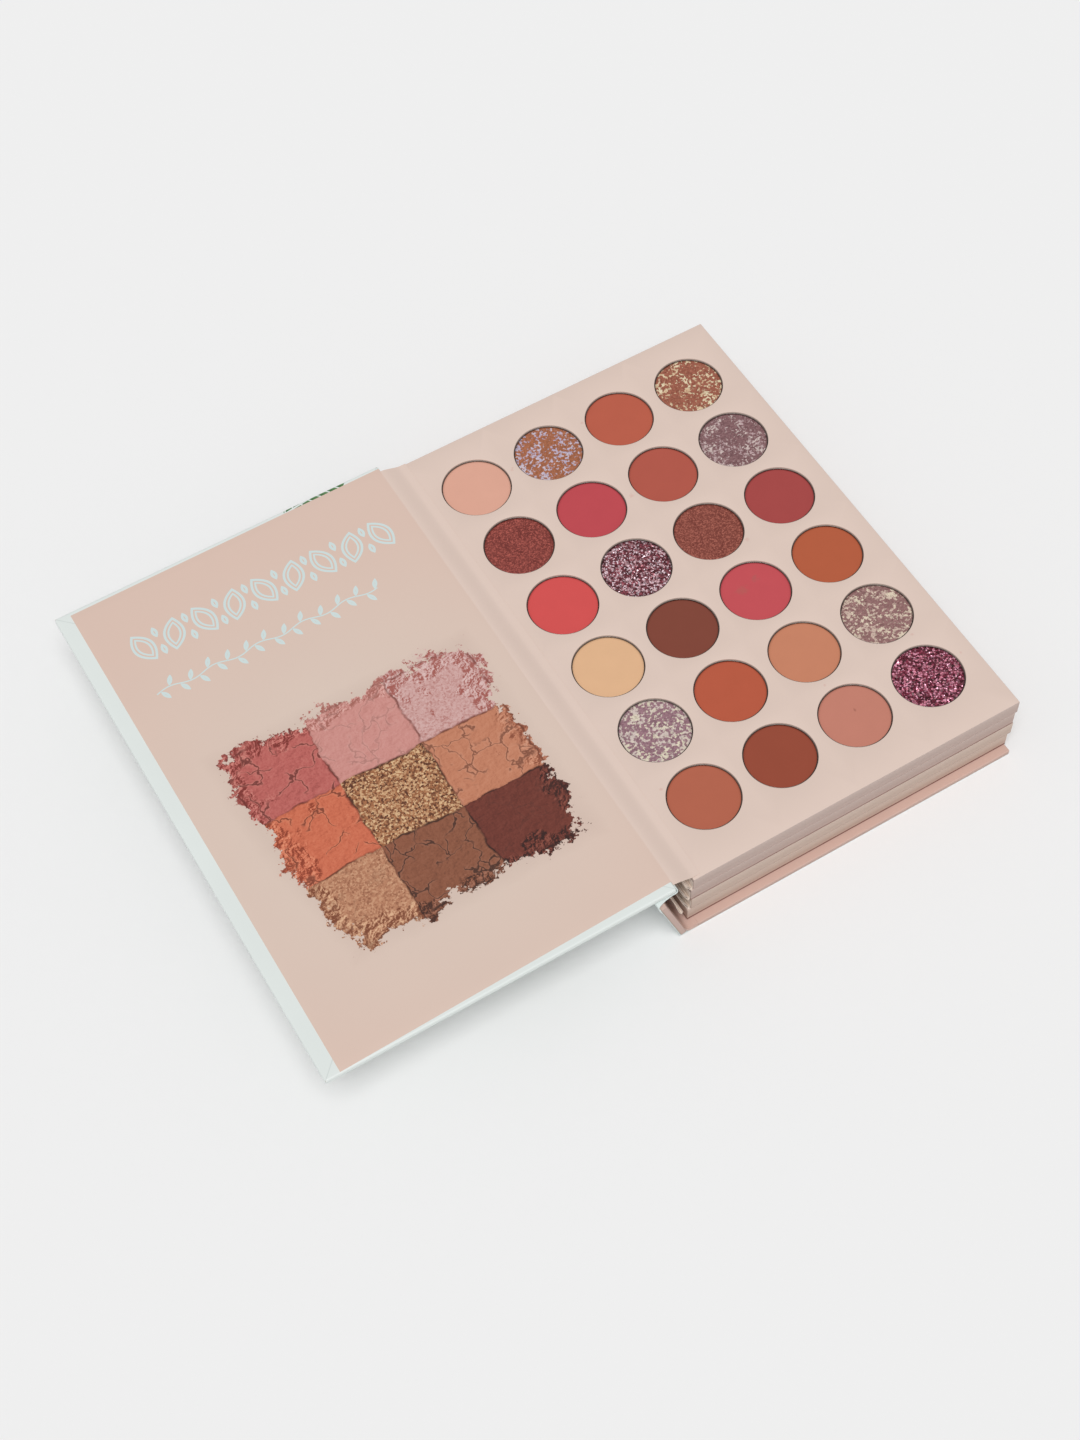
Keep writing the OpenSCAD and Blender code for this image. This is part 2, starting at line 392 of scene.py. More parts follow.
def tinplate():
    """Bright tinplate with hairline drawing marks round it."""
    mat, tree, shader, at = start("tinplate_drawn")
    stretched = put(tree, "VectorMath", {0: at, 1: (3.0, 3.0, 40.0)}, operation="MULTIPLY").outputs[0]
    marks = noise(tree, stretched, 1.0, 3, 0.6)
    colour = blend_colour(tree, marks, linear("#67625e"), linear("#8b8580"))
    feed(tree, shader, Base_Color=colour, Metallic=1.0, Roughness=spread(tree, marks, 0.3, 0.7, 0.22, 0.42),
         Normal=bump(tree, marks, 0.01, 0.4))
    return mat


def print_leaves(tree, at, colour, ink, line):
    """Palm fronds printed on the wrap: for each frond, (u, v) runs along and across its stem; ink where
    |v| < width * (1 - (u / length)^2), cut by leaflet gaps every 3.4 mm of u + 0.75 * |v|."""
    fronds = [(-31, 107, 8, 30, 13), (-26, 80, 62, 50, 17), (-78, 40, 35, 85, 20), (-40, -30, 118, 70, 18),
              (-105, -60, 60, 75, 18), (-60, -90, 150, 60, 15), (-118, 70, 95, 50, 14)]
    for x, y, turn, length, width in fronds:
        place = {0: at, 1: (x, y, 0), 2: (0, 0, math.radians(turn))}
        moved = put(tree, "Mapping", place, vector_type="TEXTURE").outputs[0]
        uvw = put(tree, "SeparateXYZ", {0: moved})
        u, v = uvw.outputs[0], size_of(tree, uvw.outputs[1])
        reach = less(tree, 1.0, calc(tree, "POWER", size_of(tree, calc(tree, "DIVIDE", u, length / 2)), 2.0))
        inside = calc(tree, "LESS_THAN", v, times(tree, reach, width / 2))
        along = calc(tree, "FRACT", calc(tree, "DIVIDE", less(tree, u, times(tree, v, 0.75)), 3.4))
        leaflet = calc(tree, "LESS_THAN", along, 0.82)
        stem = calc(tree, "GREATER_THAN", v, 0.35)
        mask = times(tree, times(tree, inside, leaflet), stem)
        tone = blend_colour(tree, spread(tree, along, 0.0, 0.74), ink, line)
        colour = blend_colour(tree, mask, colour, tone)
    return colour


def wrap_paper(name, cover_lo, cover_hi, inner_z):
    """Mint wrap paper with palm leaves on the outside and plain turn-ins inside, with a mitre at each corner:
    a fold line where the distances from the two edges are equal."""
    mat, tree, shader, at = start(name)
    c = linear("#dfe5e2")
    slow = noise(tree, at, 25, 2)
    fine = noise(tree, at, 0.4, 3, 0.6)
    colour = blend_colour(tree, slow, tinted(c, 0.975), tinted(c, 1.02))
    xyz = put(tree, "SeparateXYZ", {0: at})
    x, y, z = xyz.outputs
    mid, half = (cover_lo + cover_hi) / 2, (cover_hi - cover_lo) / 2
    # the leaves stay on the outside, but one runs over the back edge onto the turn-in
    at_back = calc(tree, "GREATER_THAN", y, float(cover_hi[1]) - 4.5)
    over_edge = times(tree, at_back, calc(tree, "COMPARE", x, -31.0, 14.0))
    outside = most(tree, calc(tree, "LESS_THAN", z, inner_z), over_edge)
    art = print_leaves(tree, at, colour, linear("#3f6a3e"), linear("#5d8455"))
    colour = blend_colour(tree, outside, colour, art)
    dx = less(tree, float(half[0]), size_of(tree, less(tree, x, float(mid[0]))))
    dy = less(tree, float(half[1]), size_of(tree, less(tree, y, float(mid[1]))))
    gap = size_of(tree, less(tree, dx, dy))
    near = calc(tree, "LESS_THAN", dx, 9.0)
    fold = times(tree, times(tree, spread(tree, gap, 0.05, 0.3, 1, 0), near),
                less(tree, 1.0, outside))
    colour = blend_colour(tree, times(tree, fold, 0.3), colour, linear("#9aa6a4"))
    feed(tree, shader, Base_Color=colour, Roughness=spread(tree, slow, 0.3, 0.7, 0.36, 0.44),
         Normal=bump(tree, less(tree, fine, fold), 0.02, 0.5))
    return mat


def smudged(tree, at, colour, marks):
    """Loose powder on a surface: marks are (x, y, radius, hex); a mark fades from its centre outwards, where
    distance + radius * 2.2 * (noise - 0.5) runs from 0.4 to 1 radius."""
    for x, y, radius, other in marks:
        flat = put(tree, "VectorMath", {0: at, 1: (1, 1, 0)}, operation="MULTIPLY").outputs[0]
        near = put(tree, "VectorMath", {0: flat, 1: (x, y, 0.0)}, operation="DISTANCE").outputs["Value"]
        ragged = times(tree, less(tree, noise(tree, at, 1.5, 3), 0.5), radius * 2.2)
        mask = spread(tree, add(tree, near, ragged), radius * 0.4, radius, 0.5, 0)
        colour = blend_colour(tree, mask, colour, linear(other))
    return colour


def loose_powder(count, seed=5):
    """Marks of spilled powder on the top card, as (x, y, radius, hex) in millimetres. Each one lies in a
    random direction from a random pan, 1 to 3 mm outside the edge of its hole."""
    rng = np.random.default_rng(seed)
    marks = []
    for _ in range(count):
        lo, hi = box_mm(f"powder_{rng.integers(1, 7)}_{rng.integers(1, 5)}")
        turn = rng.uniform(0, 2 * np.pi)
        reach = (hi[0] - lo[0]) / 2 + 0.5 + rng.uniform(1.0, 3.0)
        x, y = (lo + hi)[:2] / 2 + reach * np.array([np.cos(turn), np.sin(turn)])
        marks.append((float(x), float(y), float(rng.uniform(0.6, 1.3)), "#d3aba0"))
    return marks


def card_paper(name, lo, hi, shaded_side_hex):
    """Top card: smooth pink on its face, and on the cut sides the page edge's darker tone, painted shade that matches
    the shaded page edges. The sides are the points less than a tenth of a millimetre inside its outline."""
    mat = paper(name, "#dcc6ba", 0.5, 0.012)
    tree = mat.node_tree
    shader = next(n for n in tree.nodes if n.type == "BSDF_PRINCIPLED")
    face = shader.inputs["Base Color"].links[0].from_socket
    if name.endswith("_1"):
        face = smudged(tree, millimetres(tree), face, loose_powder(9))
    xyz = put(tree, "SeparateXYZ", {0: millimetres(tree)})
    mid, half = (lo + hi) / 2, (hi - lo) / 2
    out = [less(tree, size_of(tree, less(tree, xyz.outputs[k], float(mid[k]))), float(half[k]))
           for k in (0, 1)]
    # painted shade: the card's cut sides take the darker page-edge tone
    side = calc(tree, "GREATER_THAN", most(tree, *out), -0.1)
    feed(tree, shader, Base_Color=blend_colour(tree, side, face, linear(shaded_side_hex)))
    return mat


board_mat = greyboard()
tin_mat = tinplate()
hinge_mat = paper("hinge_paper_cream", "#e6d8cc", 0.75, 0.03, 0.02)
strip_mat = paper("joint_paper_mint", "#dbe3e1", 0.45)
print("papers and boards:", [m.name for m in (board_mat, tin_mat, hinge_mat, strip_mat)])

# %% [markdown]
# ## The printed lining of the front cover
# The lining paper inside the lid carries a full-page print: nine broken cakes of powder in a square, on a
# pale pink ground. The print is computed in the paper's own plane. Each point finds its nearest cake; a
# noise-bent distance to that cake's edge decides between powder, crumbs and bare ground.

# %% The lining print

def vector(tree, op, a, b):
    """One vector operation on two vectors, or on a vector and a number for SCALE."""
    if op == "SCALE":
        return put(tree, "VectorMath", {0: a, "Scale": b}, operation=op).outputs[0]
    node = put(tree, "VectorMath", {0: a, 1: b}, operation=op)
    return node.outputs["Value"] if op == "DISTANCE" else node.outputs[0]


def ramp(tree, at, values):
    """Steps of equal width from 0 to 1, each with its own colour or number."""
    node = put(tree, "ValToRGB", {0: at})
    stops = node.color_ramp
    stops.interpolation = "CONSTANT"
    while len(stops.elements) < len(values):
        stops.elements.new(0.99)
    for i, v in enumerate(values):
        stops.elements[i].position = i / len(values)
        stops.elements[i].color = linear(v) if isinstance(v, str) else (v, v, v, 1)
    return node.outputs[0]


CELL = (32.4, 29.6)  # pitch of the printed cakes along x and y, mm
# face, dark, light, share of glitter, of cracks and of crumbs, row by row from the back
PRINTED = [("#b9605a", "#7c2d26", "#cf8478", 0.12, 1.0, 0.12),
           ("#cb8c84", "#a4645a", "#dcaaa1", 0.05, 0.5, 0.02),
           ("#cb9f9a", "#a25a52", "#dcbcb8", 0.34, 0.0, 0.3),
           ("#cb6a4c", "#8d3a22", "#e08d6c", 0.1, 1.0, 0.16),
           ("#a46a44", "#552b19", "#e3c094", 0.85, 0.0, 0.12),
           ("#c17d5f", "#8a4a33", "#d4987c", 0.0, 0.9, 0.0),
           ("#b88061", "#7b432a", "#dcb08c", 0.42, 0.2, 0.14),
           ("#89523a", "#432318", "#a26c56", 0.1, 1.0, 0.0),
           ("#6c3024", "#33130e", "#884a3c", 0.12, 0.25, -0.06)]


def lining_print():
    """Nine broken cakes: cell = round(q / pitch) held to -1..1, d = the distance outside the cell's square,
    d_out = the distance outside the whole block. Powder shows where d_out < rough_edge, a noise of two
    sizes; faces stay calm except where rim + noise passes a level, and there they break into crumbs."""
    mat, tree, shader, at = start("lining_paper_printed")
    flat = vector(tree, "MULTIPLY", at, (1, 1, 0))
    away = vector(tree, "DISTANCE", flat, (-70.0, -20.0, 0.0))
    ground = blend_colour(tree, spread(tree, away, 20, 115), linear("#d9c7ba"), linear("#dabfb1"))
    cloud = spread(tree, noise(tree, flat, 30, 3), 0.3, 0.7, 0, 0.12)
    ground = blend_colour(tree, cloud, ground, linear("#d0b8ad"))
    coarse = put(tree, "TexNoise", {"Vector": flat, "Scale": 1 / 9.0, "Detail": 3.0}).outputs["Color"]
    inputs = {"Vector": flat, "Scale": 1 / 1.1, "Detail": 3.0, "Roughness": 0.6}
    small = put(tree, "TexNoise", inputs).outputs["Color"]
    slow_bend = vector(tree, "SCALE", vector(tree, "SUBTRACT", coarse, (0.5, 0.5, 0.5)), 5.0)
    fine_bend = vector(tree, "SCALE", vector(tree, "SUBTRACT", small, (0.5, 0.5, 0.5)), 0.5)
    bent = vector(tree, "ADD", vector(tree, "ADD", flat, slow_bend), fine_bend)
    b = put(tree, "SeparateXYZ", {0: bent})
    q = [add(tree, b.outputs[0], 66.0), add(tree, b.outputs[1], 24.0)]
    cell, own_edge, out = [], [], []
    left = spread(tree, q[1], -45, 10, 9.0, 0.0)  # the left edge leans in towards the front
    for k in (0, 1):
        n = calc(tree, "ROUND", calc(tree, "DIVIDE", q[k], CELL[k]))
        cell.append(calc(tree, "MINIMUM", most(tree, n, -1.0), 1.0))
        centre = times(tree, cell[k], CELL[k])
        own_edge.append(less(tree, size_of(tree, less(tree, q[k], centre)), CELL[k] / 2))
        out.append(less(tree, size_of(tree, q[k]), 1.5 * CELL[k]))
    out.append(less(tree, less(tree, left, q[0]), 1.5 * CELL[0]))
    d = most(tree, *own_edge)
    d_out = most(tree, most(tree, out[0], out[1]), out[2])
    index = add(tree, add(tree, cell[0], 1.0), times(tree, less(tree, 1.0, cell[1]), 3.0))
    at_ramp = calc(tree, "DIVIDE", add(tree, index, 0.5), 9.0)
    base, dark, light, glitter, cracked, broken = (ramp(tree, at_ramp, column) for column in zip(*PRINTED))
    # where the face has crumbled: near the outer rim and in patches
    patch = noise(tree, flat, 11.0, 2)
    crumbly = add(tree, spread(tree, d_out, -9.0, 0.0), times(tree, less(tree, patch, 0.5), 2.2))
    crumbly = spread(tree, add(tree, crumbly, broken), 0.42, 0.62)
    # printed light and shade: noise minus the same noise a little nearer the light
    nearer = vector(tree, "ADD", bent, (0.35, -0.35, 0.0))
    lit = less(tree, noise(tree, bent, 4.2, 4, 0.65), noise(tree, nearer, 4.2, 4, 0.65))
    relief = times(tree, lit, add(tree, 1.3, times(tree, crumbly, 9.0)))
    grains = put(tree, "SeparateColor", {0: cells(tree, flat, 0.62, out="Color")}).outputs[0]
    sparkle = times(tree, less(tree, grains, 0.5), glitter)
    tone = add(tree, add(tree, 0.5, relief), times(tree, sparkle, 1.3))
    tone = less(tree, tone, times(tree, crumbly, 0.13))
    powder = blend_colour(tree, spread(tree, tone, 0.0, 0.5, 1, 0), base, dark)
    powder = blend_colour(tree, spread(tree, tone, 0.5, 1.15, 0, 1), powder, light)
    # cracks: borders of large bent cells, dark with a lit lip beside them
    crack_at = vector(tree, "ADD", vector(tree, "ADD", bent, slow_bend), slow_bend)
    crack = cells(tree, crack_at, 12.0, feature="DISTANCE_TO_EDGE")
    open_here = times(tree, cracked, spread(tree, noise(tree, flat, 10.0, 1), 0.42, 0.5))
    lip = times(tree, spread(tree, crack, 0.03, 0.075, 1, 0), open_here)
    powder = blend_colour(tree, times(tree, lip, 0.4), powder, light)
    crack = times(tree, spread(tree, crack, 0.012, 0.032, 1, 0), open_here)
    gap_shade = times(tree, spread(tree, size_of(tree, d), 0.15, 0.65, 1, 0),
                spread(tree, noise(tree, flat, 7.0, 3), 0.38, 0.56, 0.15, 0.95))
    gaps = most(tree, times(tree, crack, 0.85), gap_shade)
    powder = blend_colour(tree, gaps, powder, tinted_socket(tree, dark, 0.6))
    # the outer rim: islands of crumbs, then single grains further out
    rough_edge = times(tree, less(tree, noise(tree, flat, 3.4, 4, 0.72), 0.49), 16.0)
    rough_edge = add(tree, rough_edge, times(tree, less(tree, noise(tree, flat, 15.0, 1), 0.5), 16.0))
    mask = times(tree, spread(tree, less(tree, d_out, rough_edge), -0.25, 0.2, 1, 0),
                calc(tree, "LESS_THAN", d_out, 5.5))
    dot = put(tree, "TexVoronoi", {"Vector": flat, "Scale": 1 / 2.1, "Randomness": 1.0}, feature="F1")
    own = put(tree, "SeparateColor", {0: dot.outputs["Color"]}).outputs[0]
    keep = times(tree, own, spread(tree, d_out, 0.5, 10.0, 0.36, 0.0))
    mask = most(tree, mask, calc(tree, "LESS_THAN", dot.outputs["Distance"], less(tree, keep, 0.14)))
    speck = put(tree, "SeparateColor", {0: cells(tree, flat, 1.2, out="Color")}).outputs[1]
    dusted = times(tree, spread(tree, d_out, -2.5, 1.0), spread(tree, speck, 0.3, 0.8, 0, 0.7))
    powder = blend_colour(tree, dusted, powder, dark)
    shade = times(tree, spread(tree, d_out, 0.0, 6.0, 1, 0), 0.14)
    colour = blend_colour(tree, mask, blend_colour(tree, shade, ground, linear("#a88f84")), powder)
    feed(tree, shader, Base_Color=colour, Roughness=0.42,
         Normal=bump(tree, noise(tree, at, 0.35, 4, 0.6), 0.01, 0.5))
    return mat


print_mat = lining_print()
print("lining print:", len(print_mat.node_tree.nodes), "nodes")

# %% [markdown]
# ## Pressed powders
# Mattes are fine pigment pressed smooth: a soft grain and slow tone clouds. Shimmers mix in mica, which
# catches light grain by grain. Flaked shades are foils crumbled into a coloured ground, and the glitters are
# coarse flat particles in a clear binder, each tilted its own way.

# %% Powder finishes

def matte(name, hex_colour, marks=()):
    """Matt pressed powder; marks are (x, y, radius, hex) smudges in millimetres on the page."""
    mat, tree, shader, at = start(name)
    c = linear(hex_colour)
    grain = noise(tree, at, 0.16, 3, 0.7)
    cloud = noise(tree, at, 7.0, 3)
    colour = blend_colour(tree, cloud, tinted(c, 0.965), tinted(c, 1.035))
    colour = blend_colour(tree, spread(tree, grain, 0.35, 0.7, 0, 0.12), colour, tinted(c, 0.8))
    colour = smudged(tree, at, colour, marks)
    feed(tree, shader, Base_Color=colour, Roughness=0.92, Specular_IOR_Level=0.12,
         Normal=bump(tree, grain, 0.03, 0.6))
    return mat


def shimmer(name, ground, glint):
    """Shimmer: each grain of about a quarter millimetre has its own tilt, and a brightness towards the glint colour
    that is a painted glint.
    """
    mat, tree, shader, at = start(name)
    own = put(tree, "SeparateColor", {0: cells(tree, at, 0.42, out="Color")})
    cloud = noise(tree, at, 6.0, 3)
    # painted glint: grains lean from the ground colour towards the lighter glint colour
    colour = blend_colour(tree, spread(tree, own.outputs[0], 0.4, 1.0, 0, 1.0), linear(ground), linear(glint))
    colour = blend_colour(tree, spread(tree, cloud, 0.3, 0.7, 0, 0.2), colour, linear(glint))
    grain = noise(tree, at, 0.3, 3, 0.7)
    feed(tree, shader, Base_Color=colour, Metallic=0.35,
         Roughness=spread(tree, own.outputs[1], 0.0, 1.0, 0.28, 0.6),
         Normal=bump(tree, add(tree, own.outputs[2], grain), 0.05, 0.7))
    return mat


def flaked(name, ground, dark, flake, other, share=0.5, size=2.2):
    """Foil flakes in a ground: flakes show where coarse noise plus fine noise passes a level set by share."""
    mat, tree, shader, at = start(name)
    crowd = times(tree, less(tree, noise(tree, at, 5.0, 2), 0.5), 0.5)
    coarse = add(tree, noise(tree, at, size, 3, 0.6), crowd)
    level = 0.62 - 0.24 * share
    mask = spread(tree, coarse, level - 0.012, level + 0.02, 0, 0.92)
    own = put(tree, "SeparateColor", {0: cells(tree, at, 0.55, out="Color")})
    ground_colour = blend_colour(tree, own.outputs[0], linear(ground), linear(dark))
    foil = blend_colour(tree, spread(tree, noise(tree, at, 3.0, 2), 0.42, 0.58), linear(flake), linear(other))
    foil = blend_colour(tree, spread(tree, own.outputs[1], 0.5, 1, 0, 0.35), foil, tinted(linear(flake), 0.6))
    colour = blend_colour(tree, mask, ground_colour, foil)
    height = add(tree, times(tree, mask, 0.7), times(tree, own.outputs[2], 0.5))
    feed(tree, shader, Base_Color=colour, Metallic=spread(tree, own.outputs[1], 0.6, 0.9, 0.05, 0.4),
         Roughness=spread(tree, own.outputs[2], 0, 1, 0.3, 0.6), Normal=bump(tree, height, 0.08, 0.7))
    return mat


def chunky(name, dark, mid, light):
    """Pressed glitter: cells of about 0.8 mm, each a flat particle with its own colour and tilt; a few cells get a
    painted glint and some a painted shade.
    """
    mat, tree, shader, at = start(name)
    cell = put(tree, "TexVoronoi", {"Vector": at, "Scale": 1 / 0.8, "Randomness": 1.0}, feature="F1")
    own = put(tree, "SeparateColor", {0: cell.outputs["Color"]})
    colour = blend_colour(tree, spread(tree, own.outputs[0], 0.1, 0.5), linear(dark), linear(mid))
    colour = blend_colour(tree, spread(tree, own.outputs[0], 0.62, 0.86), colour, linear(light))
    edge = spread(tree, cells(tree, at, 0.8, feature="DISTANCE_TO_EDGE"), 0.0, 0.12)
    colour = blend_colour(tree, edge, tinted(linear(dark), 0.6), colour)
    # painted glints: a few cells turn a brightened pink-white, standing in for sparkle
    glint = put(tree, "SeparateColor", {0: cells(tree, at, 0.5, out="Color")})
    bright = spread(tree, glint.outputs[1], 0.84, 0.88, 0, 0.95)
    colour = blend_colour(tree, bright, colour, tinted(linear(light), 1.25))
    # painted shade: some cells are darkened, as if turned away from the light
    shaded = spread(tree, glint.outputs[0], 0.70, 0.78, 0, 0.7)
    colour = blend_colour(tree, shaded, colour, tinted(linear(dark), 0.45))
    # a tilt per particle: the cell's own colour turned into a small lean of the normal
    geometry = put(tree, "NewGeometry")
    lean = vector(tree, "SCALE", vector(tree, "SUBTRACT", cell.outputs["Color"], (0.5, 0.5, 0.5)), 0.9)
    normal = put(tree, "VectorMath", {0: geometry.outputs["Normal"], 1: lean}, operation="ADD").outputs[0]
    normal = put(tree, "VectorMath", {0: normal}, operation="NORMALIZE").outputs[0]
    feed(tree, shader, Base_Color=colour, Metallic=0.35, Roughness=0.22, Normal=normal)
    return mat


PAN_KIND = {
    (1, 1): ("matte", "#dca692"), (1, 2): ("flaked", "#b36d4c", "#955a3c", "#d6cbd8", "#bdb2cc", 0.2, 1.15),
    (1, 3): ("matte", "#b95f4b"), (1, 4): ("flaked", "#aa6650", "#8f503e", "#f0e2be", "#d9b994", 0.25, 1.3),
    (2, 1): ("shimmer", "#75302b", "#bd6156"), (2, 2): ("matte", "#bd4c53"),
    (2, 3): ("matte", "#b1594b"), (2, 4): ("flaked", "#906a6c", "#734f52", "#dccac4", "#c4a8aa", 0.18, 0.85),
    (3, 1): ("matte", "#d25453"), (3, 2): ("chunky", "#5a222b", "#9c4d5a", "#ffcfd8"),
    (3, 3): ("shimmer", "#7b392f", "#ba6c5c"), (3, 4): ("matte", "#a54a48"),
    (4, 1): ("matte", "#dfb38c"), (4, 2): ("matte", "#81473a"),
    (4, 3): ("matte", "#c35258"), (4, 4): ("matte", "#b45e41"),
    (5, 1): ("flaked", "#a27a84", "#87646e", "#e6dcc4", "#d6c6be", 0.42, 1.15), (5, 2): ("matte", "#b75b43"),
    (5, 3): ("matte", "#c78366"), (5, 4): ("flaked", "#a07674", "#845e5c", "#e8d8c0", "#d2b8aa", 0.36, 1.0),
    (6, 1): ("matte", "#b3654f"), (6, 2): ("matte", "#964c3a"),
    (6, 3): ("matte", "#c3806f"), (6, 4): ("chunky", "#4a1420", "#93304c", "#ff9fb8"),
}
FINISH = {"matte": matte, "shimmer": shimmer, "flaked": flaked, "chunky": chunky}
print("shades:", {k: sum(v[0] == k for v in PAN_KIND.values()) for k in FINISH})

# %% [markdown]
# ## The cakes of the top page
# A cake is pressed into its tin by a die, which leaves a flat face and a rim that falls away over nearly the
# last millimetre. Glitters can't be pressed flat, so their face keeps a relief. Each cake is a disc grid:
# radius times angle, with the height written as a function of both.

# %% Cakes


RIM, RIM_FALL, SUNK = 0.9, 0.26, 0.12  # width and fall of a cake's rim, and how deep its face lies, mm


def cake_mesh(x, y, radius, low, high, rough, rings, turns, seed):
    """Disc with z(r) = high - SUNK - RIM_FALL * s^2, s = (r - R + RIM) / RIM over the rim, plus
    rough * noise(x, y) faded out at the rim; below the rim a straight wall down to low."""
    flat = 1 - RIM / radius
    share = np.concatenate([np.linspace(0, flat, rings - 8, endpoint=False), np.linspace(flat, 1, 8)])
    r = share[1:] * radius
    a = np.linspace(0, 2 * math.pi, turns, endpoint=False)
    gx, gy = x + r[:, None] * np.cos(a), y + r[:, None] * np.sin(a)
    s = np.clip((r - radius + RIM) / RIM, 0, 1)
    z = high - RIM_FALL * s[:, None] ** 2 - SUNK + 0 * gx
    relief = value_noise(gx, gy, 1.1, seed) * 0.5 + value_noise(gx, gy, 0.45, seed + 1) * 0.5
    slow = 0.03 * value_noise(gx, gy, 8, seed + 2)
    z = z + (rough * (relief - 0.6) + slow - 0.03) * (1 - s[:, None])
    ring = np.stack([gx, gy, z], -1)
    wall = ring[-1:].copy()
    wall[..., 2] = low
    skin = np.concatenate([ring, wall]).reshape(-1, 3)
    verts = np.concatenate([[[x, y, z[0].mean()]], skin, [[x, y, low]]])
    n = len(r) + 1
    quads = grid_quads(n, turns, 1, close_v=True)
    k = np.arange(turns)
    fan = np.stack([np.zeros(turns, int), 1 + k, 1 + (k + 1) % turns, 1 + (k + 1) % turns], 1)
    last = 1 + (n - 1) * turns
    floor = np.stack([np.full(turns, len(verts) - 1), last + (k + 1) % turns, last + k, last + k], 1)
    return verts, np.concatenate([quads, fan, floor])


# powder of another shade fallen on a cake: (dx, dy, radius, hex) from the cake's centre, mm
CAKE_MARKS = {(4, 3): [(-4, 3, 2.5, "#b0605a"), (3, 5, 1.6, "#a95f5c")], (6, 3): [(1.5, 2, 0.8, "#8f5a4c")]}
for (r, c), (kind, *colours) in PAN_KIND.items():
    node = f"powder_{r}_{c}"
    lo, hi = box_mm(node)
    x, y = (lo[:2] + hi[:2]) / 2
    marks = [(x + dx, y + dy, *mark) for dx, dy, *mark in CAKE_MARKS.get((r, c), ())]
    if marks:
        mat = matte(f"powder_matte_{r}_{c}", colours[0], marks)
    else:
        mat = FINISH[kind](f"powder_{kind}_{r}_{c}", *colours)
    rough = {"matte": 0.0, "shimmer": 0.05, "flaked": 0.12, "chunky": 0.2}[kind]
    rings, turns = (26, 64) if rough == 0 else (64, 160)
    radius = (hi[0] - lo[0]) / 2 + 0.12
    verts, faces = cake_mesh(x, y, radius, lo[2] + 0.02, hi[2], rough, rings, turns, seed=10 * r + c)
    piece(f"cake_{r}_{c}", verts, faces, mat, "page_1", [node], 60, merge=False)
print("cakes of the top page:", len(PAN_KIND))

# %% [markdown]
# ## The pages
# Each page is a base board, a foam board with round holes for the tins and a card with the same holes. Die
# cutting rolls the card's edge over a little at every hole, which gives the fine bright line round each pan.

# %% Pierced boards, tins and lower cakes
PAN_X = [float((box_mm(f"powder_1_{c}")[0][0] + box_mm(f"powder_1_{c}")[1][0]) / 2) for c in range(1, 5)]
PAN_Y = [float((box_mm(f"powder_{r}_1")[0][1] + box_mm(f"powder_{r}_1")[1][1]) / 2) for r in range(1, 7)]
PITCH = PAN_X[1] - PAN_X[0]
CAKE_R = float((box_mm("powder_1_1")[1][0] - box_mm("powder_1_1")[0][0]) / 2)
page_bodies = {1: "page_1", 2: "page_2", 3: "page_3", 4: "back_cover"}


def pierced_mesh(lo, hi, dx, hole, lip, edge, turns):
    """A board with 24 round holes. Every pan owns a rectangle; for each of its rays the points run from the
    rectangle's edge in to the hole, round its lip, down the wall, and out again below."""
    xs = [lo[0]] + [(PAN_X[i] + PAN_X[i + 1]) / 2 + dx for i in range(3)] + [hi[0]]
    ys = [hi[1]] + [(PAN_Y[i] + PAN_Y[i + 1]) / 2 for i in range(5)] + [lo[1]]
    verts, faces, count = [], [], 0
    a = np.linspace(0, 2 * math.pi, turns, endpoint=False) + math.pi / turns
    cos, sin = np.cos(a), np.sin(a)
    arc = np.linspace(0, math.pi / 2, 4)
    for i in range(6):
        for j in range(4):
            x, y = PAN_X[j] + dx, PAN_Y[i]
            west, east, north, south = xs[j] - x, xs[j + 1] - x, ys[i] - y, ys[i + 1] - y
            reach = np.minimum(np.where(cos > 0, east, west) / cos, np.where(sin > 0, north, south) / sin)
            bx, by = reach * cos, reach * sin
            for qx, qy in ((east, north), (west, north), (west, south), (east, south)):
                k = np.argmin((bx - qx) ** 2 + (by - qy) ** 2)
                bx[k], by[k] = qx, qy
            # outer edges of the board are rounded: pull the top and bottom rings in by edge there
            at_east, at_west = (np.abs(bx - east) < 1e-9) & (j == 3), (np.abs(bx - west) < 1e-9) & (j == 0)
            at_north, at_south = (np.abs(by - north) < 1e-9) & (i == 0), (np.abs(by - south) < 1e-9) & (i == 5)
            ox = np.where(at_east, -edge, np.where(at_west, edge, 0))
            oy = np.where(at_north, -edge, np.where(at_south, edge, 0))
            rings = []
            for t in arc:
                w, h = 1 - math.sin(t), 1 - math.cos(t)
                rings.append((bx + ox * h, by + oy * h, np.full(turns, hi[2] - edge * w)))
            for t in arc:
                rad = hole + lip * (1 - math.sin(t))
                rings.append((rad * cos, rad * sin, np.full(turns, hi[2] - lip * (1 - math.cos(t)))))
            rings.append((hole * cos, hole * sin, np.full(turns, lo[2])))
            for t in arc[::-1]:
                w, h = 1 - math.sin(t), 1 - math.cos(t)
                rings.append((bx + ox * h, by + oy * h, np.full(turns, lo[2] + edge * w)))
            block = np.stack([np.stack([u + x, v + y, w], -1) for u, v, w in rings])
            verts.append(block.reshape(-1, 3))
            f = grid_quads(len(rings), turns, count, close_v=True)
            faces.append(f)
            # the outer side, between the first and the last ring, only on the board's own outline
            first, last = count + np.arange(turns), count + (len(rings) - 1) * turns + np.arange(turns)
            nxt = (np.arange(turns) + 1) % turns
            outer = (np.abs(ox) + np.abs(oy) > 0)
            same_side = ((ox != 0) & (ox[nxt] != 0)) | ((oy != 0) & (oy[nxt] != 0))
            k = np.nonzero(outer & outer[nxt] & same_side)[0]
            faces.append(np.stack([last[k], last[nxt[k]], first[nxt[k]], first[k]], 1))
            count += len(rings) * turns
    return np.concatenate(verts), np.concatenate(faces)


